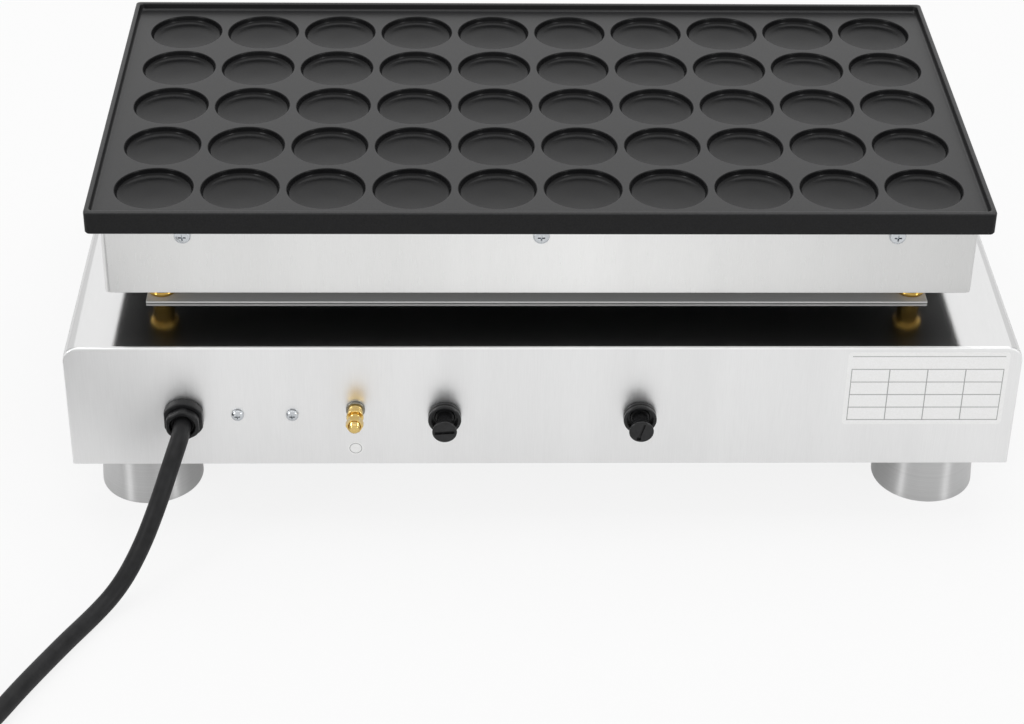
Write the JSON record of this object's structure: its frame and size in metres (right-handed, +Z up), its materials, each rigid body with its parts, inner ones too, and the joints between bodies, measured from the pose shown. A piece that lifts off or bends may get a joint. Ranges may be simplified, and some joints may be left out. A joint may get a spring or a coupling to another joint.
{
  "type": "electric muffin maker",
  "caption": "Electric mini muffin maker: open rectangular baking plate with a grid of round cups, heater housing on posts, steel base on bell feet, rear fuses, front knobs and mains lead.",
  "frame": {"origin": "middle of the machine on the worktop under its feet, measured without the mains lead", "axes": "+X along the long side, -Y towards the side with the lead and fuses, +Y towards the side with the knobs, +Z up"},
  "size_m": [0.7058, 0.586, 0.195],
  "materials": {
    "nonstick": "dark non-stick coating on cast aluminium",
    "polished_sheet": "bright rolled stainless sheet",
    "brushed_sheet": "stainless sheet, fine grain across the machine",
    "dark_sheet": "heat-darkened sheet",
    "element": "heat-tinted sheath",
    "zinc": "dull zinc-plated",
    "mat": "soft fibre",
    "copper": "drawn copper",
    "nylon": "black nylon",
    "cable": "black, satin",
    "block": "unglazed",
    "screw": "bright-plated",
    "brass": "turned",
    "bakelite": "moulded phenolic",
    "knob": "black phenolic",
    "green_lens": "clear green",
    "red_lens": "clear red",
    "foot_steel": "bright drawn steel",
    "fuse_glass": "clear tube with metal ends"
  },
  "bodies": {
    "machine": {"baking_plate": "nonstick", "heater_housing": "polished_sheet", "housing_bottom": "dark_sheet", "heating_element_rear": "element", "heating_element_front": "element", "clamp_bar_left": "zinc", "clamp_bar_right": "zinc", "clamp_screw_left": "zinc", "clamp_screw_right": "zinc", "insulation_mat": "mat", "thermostat_probe": "copper", "heat_shield": "zinc", "base_wrap": "brushed_sheet", "rear_panel": "brushed_sheet", "front_panel": "brushed_sheet", "base_bottom": "brushed_sheet", "gland_body": "nylon", "gland_nut": "nylon", "gland_locknut": "nylon", "cord_lead": "cable", "cord_coil": "cable", "plug": "cable", "cord_tie": "cable", "terminal_block": "block", "terminal_screw_1": "screw", "terminal_screw_2": "screw", "earth_stud": "brass", "earth_nut": "brass", "thermostat": "bakelite", "timer": "bakelite", "power_lamp": "green_lens", "heating_lamp": "red_lens", "standoff_1": "brass", "standoff_nut_1": "brass", "foot_1": "foot_steel", "standoff_2": "brass", "standoff_nut_2": "brass", "foot_2": "foot_steel", "standoff_3": "brass", "standoff_nut_3": "brass", "foot_3": "foot_steel", "standoff_4": "brass", "standoff_nut_4": "brass", "foot_4": "foot_steel", "fuse_holder_1": "nylon", "fuse_nut_1": "nylon", "fuse_holder_2": "nylon", "fuse_nut_2": "nylon", "housing_screw_rear_left": "screw", "housing_screw_rear_middle": "screw", "housing_screw_rear_right": "screw", "housing_screw_front_left": "screw", "housing_screw_front_middle": "screw", "housing_screw_front_right": "screw"},
    "fuse_1": {"fuse_link_1": "fuse_glass"},
    "fuse_cap_1_body": {"fuse_cap_1": "nylon"},
    "fuse_2": {"fuse_link_2": "fuse_glass"},
    "fuse_cap_2_body": {"fuse_cap_2": "nylon"},
    "thermostat_dial": {"thermostat_knob": "knob"},
    "timer_dial": {"timer_knob": "knob"}
  },
  "joints": [
    {"name": "fuse_1_draw", "type": "slide", "parent": "machine", "child": "fuse_1", "axis": [0, -1, 0], "range_m": [0, 0.045]},
    {"name": "fuse_1_turn", "type": "hinge", "parent": "fuse_1", "child": "fuse_cap_1_body", "pos_m": [-0.05529, -0.1865, 0.0738], "axis": [0, 1, 0], "range_deg": [0, 90]},
    {"name": "fuse_2_draw", "type": "slide", "parent": "machine", "child": "fuse_2", "axis": [0, -1, 0], "range_m": [0, 0.045]},
    {"name": "fuse_2_turn", "type": "hinge", "parent": "fuse_2", "child": "fuse_cap_2_body", "pos_m": [0.05389, -0.1865, 0.0738], "axis": [0, 1, 0], "range_deg": [0, 90]},
    {"name": "thermostat_turn", "type": "hinge", "parent": "machine", "child": "thermostat_dial", "pos_m": [0.12508, 0.179, 0.08], "axis": [0, -1, 0], "range_deg": [0, 300]},
    {"name": "timer_turn", "type": "hinge", "parent": "machine", "child": "timer_dial", "pos_m": [-0.12508, 0.179, 0.08], "axis": [0, -1, 0], "range_deg": [0, 330]}
  ]
}
